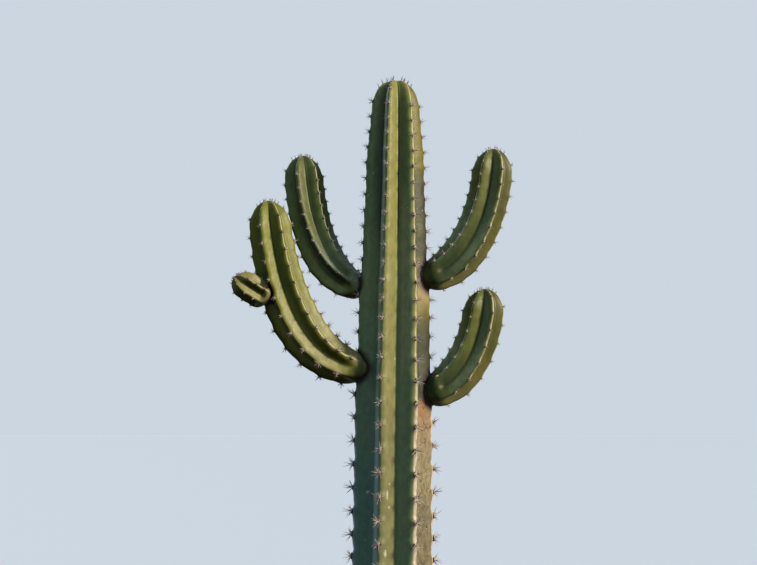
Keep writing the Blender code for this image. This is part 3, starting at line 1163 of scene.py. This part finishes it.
def green_skin(tree, greens):
    """Living skin: painted sun, shade, sky sheen and furrow shade; mottling and a waxy coat."""
    # share of the painted furrow shade that stays on old skin
    fade = tree.step("age", 0.015, 0.10, 1.0, greens.old_furrow)
    shade = tree.tint(1.0, tree.mix("age", greens.shade, greens.old_shade), SHADE_LIFT)
    # painted shade deepening towards the furrows
    shade = tree.mix(tree.times(tree.step("groove", 0.15, 1.0, 0.0, 0.55), fade), shade, FURROW_SHADE)
    sun = tree.mix("age", greens.sun, greens.old_sun)
    # painted light: sun-facing skin takes the lit green, the rest the shaded one
    colour = tree.mix(tree.step("sunny", 0.42, 0.84), shade, sun)
    # painted grazing light on the shaded flank next to a crest
    fringe = tree.times(
        tree.step("ridge", 0.45, 0.97, 0.0, greens.fringe),
        tree.step("sunny", 0.42, 0.56),
        "ribbed",
        tree.step("sunny", 0.80, 0.66),
        tree.step("age", 0.3, 1.0, 1.0, 0.35),
    )
    colour = tree.mix(fringe, colour, LIT_FRINGE)
    colour = tree.mix(tree.times("growth", 0.5), colour, greens.fresh)
    patches = tree.noise(11, detail=3, stretch=(1, 1, 0.45))
    # random pale patches, stronger on the painted sun side
    bright = tree.times(
        tree.step(patches, 0.45, 0.70, 0.0, 0.5),
        tree.step("sunny", 0.25, 0.6, 0.15, 1.0),
        tree.step("age", 0.0, 1.0, 1.0, 0.4),
    )
    colour = tree.mix(bright, colour, greens.fresh)
    if greens.frost:
        frost = tree.times(
            tree.step("groove", 0.95, 0.60),
            "haze",
            tree.step("sunny", 0.64, 0.50, 0.0, greens.frost),
            "ribbed",
        )
        colour = tree.mix(frost, colour, FROST)
    mottle = tree.noise(75, detail=5, roughness=0.6, stretch=(1, 1, 0.6))
    colour = tree.tint(0.9, colour, tree.grey(tree.step(mottle, 0.25, 0.75, 0.76, 1.18)))
    # painted sky reflection with the waxy coat, on the left-facing flanks
    wax = tree.times("bloom", tree.step(streaks(tree), 0.30, 0.62, 0.45, 0.85))
    colour = tree.mix(tree.times(wax, greens.wax), colour, tree.mix("age", YOUNG_SHEEN_AND_WAX, SHEEN_AND_WAX))
    # the right-hand side: painted light and shade, with a golden tint
    right = tree.mix("age", greens.right, greens.low_right)
    colour = tree.tint("right", colour, right)
    # painted shade at the bottom of each furrow
    deep = tree.times(tree.step("groove", 0.88, 0.99, 0.0, 0.85), fade)
    return tree.mix(deep, colour, FURROW_SHADE)


def worn_and_lit_crests(tree, colour, edges):
    """The skin with sunward crests pale as wear and painted highlight, between two ridge values."""
    worn = tree.times(
        tree.step("ridge", *edges),
        tree.step("ribbed", 0.02, 0.25),
        "worn",
        tree.step(streaks(tree), 0.25, 0.55, 0.65, 1.0),
    )
    return tree.mix(worn, colour, CREST_WORN_AND_LIT)


def old_crests(tree, colour):
    """Old crests: broad, ragged cream with painted highlight sunward; thin grey with painted rim off
    it.
    """
    ragged = tree.step(tree.noise(120, detail=4, stretch=(1, 1, 0.35)), 0.25, 0.75, -0.035, 0.035)
    broad = tree.step(tree.maths("ADD", "ridge", ragged), 0.895, 0.955)
    sunward = tree.times(broad, tree.step("age", 0.60, 0.92), "worn")
    # thin grey crests with painted sky rim light, turned from the sun
    thin = tree.times(tree.step("ridge", 0.88, 0.96), tree.step("age", 0.70, 1.0, 0.0, 0.7))
    thin = tree.times(thin, tree.step("sunny", 0.40, 0.20))
    return tree.mix(sunward, tree.mix(thin, colour, SHADE_CREST_RIM), CREST_OLD_AND_LIT)


def skin_bumps(tree, fine, strength, depth):
    """Lumps of a strength and a depth, under the skin's fine grain."""
    lumps = tree.bump(tree.noise(LUMP_SCALE, detail=3), strength, depth)
    return tree.bump(fine, 0.25, FINE_DEPTH, lumps)


def limb_material(name, greens):
    tree = Tree(name)
    deep = tree.times("deep", greens.deep)
    colour = worn_and_lit_crests(tree, green_skin(tree, greens), greens.crest)
    # painted shade under the limb and where it is shut in
    colour = tree.tint("under", colour, UNDER_SHADE)
    colour = tree.tint(deep, colour, DEEP_SHADE)
    tree.surface("Base Color", tree.mix("neck", colour, NECK_DARK))
    flat = tree.step("ribbed", 0.25, 0.85, 1.0, 0.0)
    dull = tree.most("under", deep, "neck", flat)
    gloss = tree.step(dull, 0.0, 1.0, LIMB_GLOSS, DULL_GLOSS)
    tree.surface("Specular IOR Level", gloss)
    fine = tree.noise(FINE_SCALE, detail=3)
    tree.surface("Roughness", tree.step(fine, 0.3, 0.7, *LIMB_ROUGHNESS))
    tree.surface("Normal", skin_bumps(tree, fine, 0.16, LIMB_LUMP_DEPTH))
    return tree.material


def trunk_material():
    tree = Tree("old ribbed skin")
    colour = green_skin(tree, TRUNK_GREENS)
    edges = tree.times(
        tree.step("groove", 0.62, 0.86),
        "age",
        tree.step("sunny", 0.55, 0.80, 0.0, 0.5),
    )
    colour = tree.mix(edges, colour, GREEN_EDGE)
    # painted sky-blue light on the left-hand side
    colour = tree.tint("left", colour, LEFT_SKY_BLUE)
    # painted shade low on the left
    colour = tree.tint("dim", colour, LOW_LEFT_SHADE)
    # painted shade in the left-hand furrow
    colour = tree.mix(tree.times("recess", 0.7), colour, FURROW_SHADE)
    patchy = tree.step(tree.noise(30), 0.3, 0.55, 0.75, 0.98)
    # painted shadow of the arms, in patches
    colour = tree.mix(tree.times("weather", patchy), colour, ARM_SHADOW)
    colour = tree.mix(tree.times("tan", 0.85), colour, TAN)
    scars = scar_pattern(tree)
    cork, cracks, grain = cork_pattern(tree)
    ragged = tree.noise(38, detail=5, roughness=0.65, stretch=(1, 1, 0.5))
    corky = tree.maths("ADD", "cork", tree.step(ragged, 0, 1, -0.45, 0.45))
    corky = tree.step(corky, 0.42, 0.62)
    colour = tree.mix(corky, colour, tree.tint("low", cork, CORK_LOW))
    colour = old_crests(tree, worn_and_lit_crests(tree, colour, TRUNK_GREENS.crest))
    colour = tree.mix(scars, colour, SCAR)
    tree.surface("Base Color", tree.mix("neck", colour, NECK_DARK))
    tree.surface("Specular IOR Level", SKIN_GLOSS)
    fine = tree.noise(FINE_SCALE, detail=3)
    rough = tree.grey(tree.step(fine, 0.3, 0.7, *TRUNK_ROUGHNESS))
    tree.surface("Roughness", tree.mix(corky, rough, CORK_ROUGHNESS))
    height = tree.times(corky, tree.maths("ADD", grain, tree.times(cracks, -1.3)))
    normal = skin_bumps(tree, fine, 0.35, TRUNK_LUMP_DEPTH)
    normal = tree.bump(height, 0.9, CORK_DEPTH, normal)
    tree.surface("Normal", tree.bump(scars, 0.5, SCAR_DEPTH, normal))
    return tree.material


def scar_pattern(tree):
    """Ragged pale scars at their stated places, and a few small flecks anywhere."""
    ragged = tree.step(tree.noise(330, detail=4, roughness=0.7), 0.2, 0.8, -0.4, 0.4)
    placed = tree.step(tree.maths("ADD", "scars", ragged), 0.50, 0.72)
    flecks = tree.step(tree.cells(55, stretch=(1, 1, 0.6)), 0.085, 0.060)
    zone = tree.step(tree.noise(9, detail=2), 0.50, 0.60)
    return tree.most(placed, tree.times(flecks, zone))


def cork_pattern(tree):
    """Colour of the cork, its cracks and its grain."""
    grain = tree.noise(130, detail=6, roughness=0.68, stretch=(1, 1, 0.55))
    broad = tree.noise(20, detail=4, stretch=(1, 1, 0.5))
    colour = tree.mix(tree.step(grain, 0.35, 0.66), CORK_DARK, CORK_LIGHT)
    colour = tree.mix(tree.step(broad, 0.48, 0.68, 0.0, 0.7), colour, CORK_GREY)
    flames = tree.noise(60, detail=4, roughness=0.6, stretch=(1, 1, 0.16))
    rust = tree.times("rust", tree.step(flames, 0.40, 0.62, 0.15, 1.0))
    colour = tree.mix(rust, colour, RUST)
    bent = tree.cells(75, stretch=(1, 1, 0.55), feature="DISTANCE_TO_EDGE")
    ragged = tree.noise(120, detail=4)
    cracks = tree.step(tree.maths("ADD", bent, tree.times(ragged, 0.10)), 0.085, 0.050)
    broken = tree.step(tree.noise(55, detail=3), 0.50, 0.60)
    specks = tree.step(tree.cells(190, stretch=(1, 1, 0.6)), 0.26, 0.16)
    sparse = tree.step(tree.noise(33, detail=3), 0.50, 0.62)
    cracks = tree.most(tree.times(cracks, broken), tree.times(specks, sparse))
    return tree.mix(tree.times(cracks, 0.75), colour, CORK_CRACK), cracks, grain


def plain_material(name, colour, roughness, sheen):
    """A plain colour with a fibrous surface, for the small joined pieces."""
    tree = Tree(name)
    tree.surface("Base Color", colour)
    tree.surface("Roughness", roughness)
    tree.surface("Sheen Weight", sheen)
    tree.surface("Normal", tree.bump(tree.noise(1400, detail=3), 0.4, 0.0004))
    return tree.material


# Collars


def join_line(skin, carrier):
    """Where a limb's skin comes out of its carrier's, once round, and the way off the limb."""
    rings = int(np.searchsorted(skin.along[:: skin.columns], skin.stem.out_at + ROOT_REACH))
    points = skin.vertices[: rings * skin.columns]
    heights = carrier.height_over(points, 2 * ROOT_REACH).reshape(rings, skin.columns)
    grid = points.reshape(rings, skin.columns, 3)
    column = np.arange(skin.columns)
    out = np.argmax(heights > 0, axis=0)
    low, high = heights[out - 1, column], heights[out, column]
    share = (-low / (high - low))[:, None]
    line = grid[out - 1, column] * (1 - share) + grid[out, column] * share
    middle = skin.stem.frame(skin.along[out * skin.columns])[0]
    ways = line - middle
    return line, ways / np.linalg.norm(ways, axis=1)[:, None]


def evened(line, rounds):
    """A closed line with its corners rounded off."""
    for _ in range(rounds):
        line = 0.5 * line + 0.25 * (np.roll(line, 1, axis=0) + np.roll(line, -1, axis=0))
    return line


def add_collar(joined, draw, skin, carrier):
    """A lumpy ring along the join of a limb and its carrier."""
    line, ways = join_line(skin, carrier)
    line = evened(line, COLLAR_EVENING)
    turns = len(line)
    thick = COLLAR_THICKNESS * skin.stem.limb.radius
    ahead = np.roll(line, -2, axis=0) - np.roll(line, 2, axis=0)
    ahead /= np.linalg.norm(ahead, axis=1)[:, None]
    aside = np.cross(ahead, ways)[:, None]
    around = math.tau * np.arange(COLLAR_SIDES)[None, :, None] / COLLAR_SIDES
    reach = thick * draw.uniform(0.72, 1.28, (turns, COLLAR_SIDES))[..., None]
    points = line[:, None] + reach * (np.cos(around) * ways[:, None] + np.sin(around) * aside)
    faces = []
    for turn in range(turns):
        after = (turn + 1) % turns
        faces += ring_quads(turn * COLLAR_SIDES, after * COLLAR_SIDES, COLLAR_SIDES)
    joined.add(points.reshape(-1, 3), faces)


# Stage, light and camera

FLOOR_SIZE = 400.0  # half of a side
FLOOR_PALE = (0.735, 0.804, 0.902)  # its lit shade is the backdrop's
BACKDROP = (0.60, 0.67, 0.75)
FILL_RAMP = (  # share of the way from straight down to straight up, and the light from there
    (0.48, (0.016, 0.016, 0.015, 1)),
    (0.60, (0.27, 0.33, 0.38, 1)),
    (1.00, (0.26, 0.34, 0.44, 1)),
)
SUNS = (  # name, azimuth and height in degrees, energy, angular size, colour
    ("key", 67, 23, 3.8, 0.18, (1.0, 0.87, 0.66)),
    ("back", -140, 30, 0.7, 0.6, (0.78, 0.88, 1.0)),
)
CAMERA_PLACE = Vector((-0.0242, -3.2, 1.2))
CAMERA_AIM = Vector((-0.0242, 0.0, 1.5376))
FRAME_WIDTH = 1.741  # metres across the picture at the aim point
SENSOR_WIDTH = 36


def pale_floor():
    size = FLOOR_SIZE
    corners = [(-size, -size, 0), (size, -size, 0), (size, size, 0), (-size, size, 0)]
    mesh = bpy.data.meshes.new("floor")
    mesh.from_pydata(corners, [], [(0, 1, 2, 3)])
    floor = new_object("floor", mesh)
    tree = Tree("pale floor")
    tree.surface("Base Color", FLOOR_PALE)
    tree.surface("Roughness", 0.9)
    mesh.materials.append(tree.material)
    floor.visible_diffuse = False


def add_suns():
    """A warm, low key light and a cool one from behind."""
    for name, azimuth, height, energy, size, colour in SUNS:
        light = bpy.data.lights.new(name, "SUN")
        light.energy = energy
        light.angle = size
        light.color = colour
        way = Vector(unit(math.radians(azimuth), math.radians(height)))
        new_object(name, light).rotation_euler = way.to_track_quat("Z", "Y").to_euler()


def light_world():
    """A cool fill, stronger from above, which the camera sees as a pale backdrop."""
    world = bpy.data.worlds.new("studio")
    bpy.context.scene.world = world
    tree = Nodes(world)
    place = tree.node("TexCoord", {})["Generated"]
    up = tree.node("SeparateXYZ", {"Vector": place})["Z"]
    height = tree.node("MapRange", {"Value": up, "From Min": -1.0})["Result"]
    shade = tree.node("ValToRGB", {"Fac": height})["Color"]
    stops = shade.node.color_ramp.elements
    stops.new(0.5)
    for stop, (share, colour) in zip(stops, FILL_RAMP):
        stop.position = share
        stop.color = colour
    fill = tree.node("Background", {"Color": shade})["Background"]
    backdrop = tree.node("Background", {"Color": BACKDROP})["Background"]
    seen = tree.node("LightPath", {})["Is Camera Ray"]
    mixed = tree.node("MixShader", {"Fac": seen, 1: fill, 2: backdrop})["Shader"]
    tree.put(tree.nodes["World Output"].inputs["Surface"], mixed)


def add_camera():
    data = bpy.data.cameras.new("camera")
    away = CAMERA_AIM - CAMERA_PLACE
    data.sensor_width = SENSOR_WIDTH
    data.lens = SENSOR_WIDTH * away.length / FRAME_WIDTH
    camera = new_object("camera", data)
    camera.location = CAMERA_PLACE
    camera.rotation_euler = away.to_track_quat("-Z", "Y").to_euler()
    bpy.context.scene.camera = camera


# The small joined pieces: slot, material, colour, roughness and sheen
SMALL_PIECES = {
    "areole_wool": ("spine_wool", "areole wool", (0.64, 0.55, 0.53), 0.95, 0.3),
    # dark felt rims, also standing in for the cushions' shadows
    "areole_rims_and_shade": ("spine_wool", "areole rim", (0.055, 0.028, 0.024), 0.9, 0.0),
    "pale_spines": ("spines", "pale spine", (0.80, 0.69, 0.64), 0.5, 0.0),
    "brown_spines": ("spines", "brown spine", (0.19, 0.075, 0.060), 0.45, 0.0),
    # dark cork collars, also standing in for the contact shadow at each join
    "arm_collars": ("spine_wool", "collar cork", (0.045, 0.026, 0.022), 0.95, 0.0),
}


def build_skins(skins):
    """Every stem's skin with its relief, its markings and its material."""
    trunk, pup = skins["trunk"], skins["offshoot"]
    arms = [skins[name] for name in LIMB_NAMES if name != "offshoot"]
    build_trunk_skin(trunk, arms, trunk_material())
    right_skin = limb_material("right arm skin", RIGHT_ARM_GREENS)
    materials = {
        "upper_left": limb_material("upper left skin", UPPER_LEFT_GREENS),
        "lower_left": limb_material("lower left skin", LOWER_LEFT_GREENS),
        "upper_right": right_skin,
        "lower_right": right_skin,
    }
    for arm in arms:
        name = arm.stem.name
        nodes = [name + "_elbow", name + "_arm"]
        carried = [pup] if name == "lower_left" else []
        build_branch_skin(arm, trunk, carried, nodes, "arm_skin", materials[name])
    pup_skin = limb_material("offshoot skin", OFFSHOOT_GREENS)
    pup_nodes = ["lower_left_offshoot"]
    build_branch_skin(pup, skins["lower_left"], [], pup_nodes, "offshoot_skin", pup_skin)


def build_small_pieces(skins):
    """The cushions, the spines and the collars, each kind joined into one piece."""
    draw = np.random.default_rng(SEED)
    parts = {name: Joined() for name in SMALL_PIECES}
    kinds = {"trunk": MATURE, "offshoot": PUP}
    for name, skin in skins.items():
        stem = skin.stem
        kind = kinds.get(name, YOUNG)
        for rib in range(RIBS):
            for at in stem.areoles[rib]:
                add_cushion(parts, draw, stem, grown(kind, cushion_size(stem, at)), at, rib)
        add_crown(parts, draw, stem, kind)
    for name in LIMB_NAMES:
        carrier = skins["lower_left" if name == "offshoot" else "trunk"]
        add_collar(parts["arm_collars"], draw, skins[name], carrier)
    for name, (slot, *finish) in SMALL_PIECES.items():
        parts[name].piece(name, slot, plain_material(*finish))


def build_plant():
    stems = {"trunk": Trunk()}
    for name, limb in LIMBS.items():
        carrier = stems["lower_left" if name == "offshoot" else "trunk"]
        stems[name] = Branch(name, limb, carrier)
    skins = {name: Skin(stem) for name, stem in stems.items()}
    build_skins(skins)
    build_small_pieces(skins)


build_plant()
pale_floor()
add_suns()
light_world()
add_camera()
bpy.context.scene.view_settings.view_transform = "Standard"
